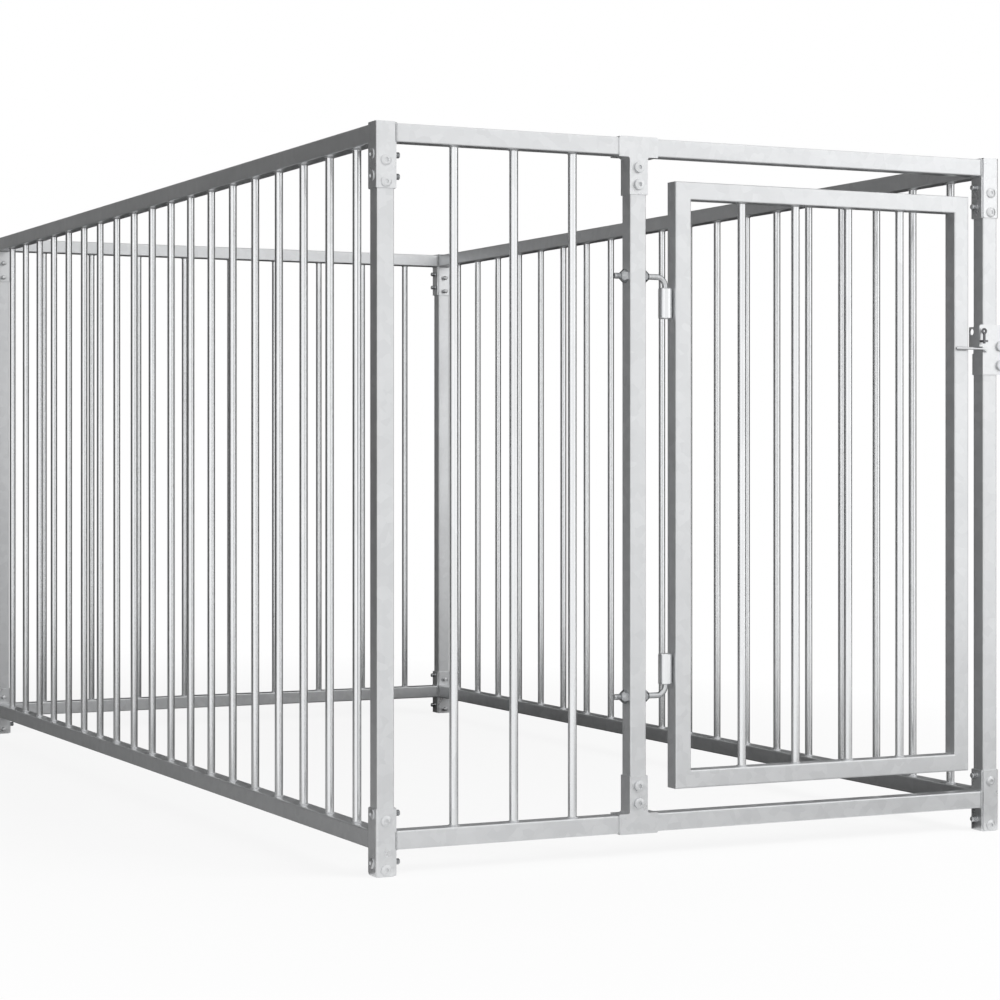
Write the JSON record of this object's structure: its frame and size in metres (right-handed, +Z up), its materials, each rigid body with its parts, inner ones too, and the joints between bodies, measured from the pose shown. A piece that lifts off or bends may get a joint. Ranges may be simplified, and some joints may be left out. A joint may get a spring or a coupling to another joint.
{
  "type": "dog kennel run",
  "caption": "Open-topped galvanised dog run of square tube and round bars, bolted at the corners, with a barred door on hook hinges and a drop-pin latch.",
  "frame": {"origin": "centre of the footprint on the ground, bolt heads and latch included", "axes": "+Z up, -Y the side with the door, +X to the right seen from the door side, +Y along the run"},
  "size_m": [1.02, 2.0184, 1],
  "materials": {
    "tube_steel": "hot-dip galvanised, satin",
    "bar_steel": "galvanised, bright",
    "plate_steel": "zinc plated sheet, satin",
    "fastener_steel": "zinc plated, bright",
    "cap_plastic": "moulded, matt"
  },
  "bodies": {
    "run": {"post_front_left": "tube_steel", "post_front_right": "tube_steel", "post_back_left": "tube_steel", "post_back_right": "tube_steel", "hinge_post": "tube_steel", "front_rail_top": "tube_steel", "front_rail_bottom": "tube_steel", "back_rail_top": "tube_steel", "back_rail_bottom": "tube_steel", "left_rail_top": "tube_steel", "left_rail_bottom": "tube_steel", "right_rail_top": "tube_steel", "right_rail_bottom": "tube_steel", "left_bars": "bar_steel", "right_bars": "bar_steel", "back_bars": "bar_steel", "front_bars": "bar_steel", "front_top_end_plates": "plate_steel", "front_bottom_end_plates": "plate_steel", "back_top_end_plates": "plate_steel", "back_bottom_end_plates": "plate_steel", "left_top_end_plates": "plate_steel", "left_bottom_end_plates": "plate_steel", "right_top_end_plates": "plate_steel", "right_bottom_end_plates": "plate_steel", "bracket_top_front_left": "plate_steel", "bracket_top_front_right": "plate_steel", "bracket_top_back_left": "plate_steel", "bracket_top_back_right": "plate_steel", "bracket_low_front_left": "plate_steel", "bracket_low_front_right": "plate_steel", "bracket_low_back_left": "plate_steel", "bracket_low_back_right": "plate_steel", "tee_bracket_top": "plate_steel", "tee_bracket_bottom": "plate_steel", "latch_keeper": "plate_steel", "corner_bolts": "fastener_steel", "tee_bolts": "fastener_steel", "tee_nuts": "fastener_steel", "hook_top": "fastener_steel", "hook_bottom": "fastener_steel", "hook_nuts": "fastener_steel", "keeper_bolts": "fastener_steel", "keeper_nuts": "fastener_steel", "post_caps": "cap_plastic"},
    "door": {"door_hinge_stile": "tube_steel", "door_latch_stile": "tube_steel", "door_rail_top": "tube_steel", "door_rail_bottom": "tube_steel", "door_bars": "bar_steel", "barrel_top": "bar_steel", "barrel_bottom": "bar_steel", "latch_tongue": "fastener_steel"},
    "pin": {"ring_pin": "fastener_steel"}
  },
  "joints": [
    {"name": "door_swing", "type": "hinge", "parent": "run", "child": "door", "pos_m": [-0.06217, -0.98438, 0.5], "axis": [0, 0, -1], "range_deg": [0, 105]},
    {"name": "pin_drop", "type": "slide", "parent": "run", "child": "pin", "axis": [0, 0, -1], "range_m": [0, 0.0085]}
  ]
}
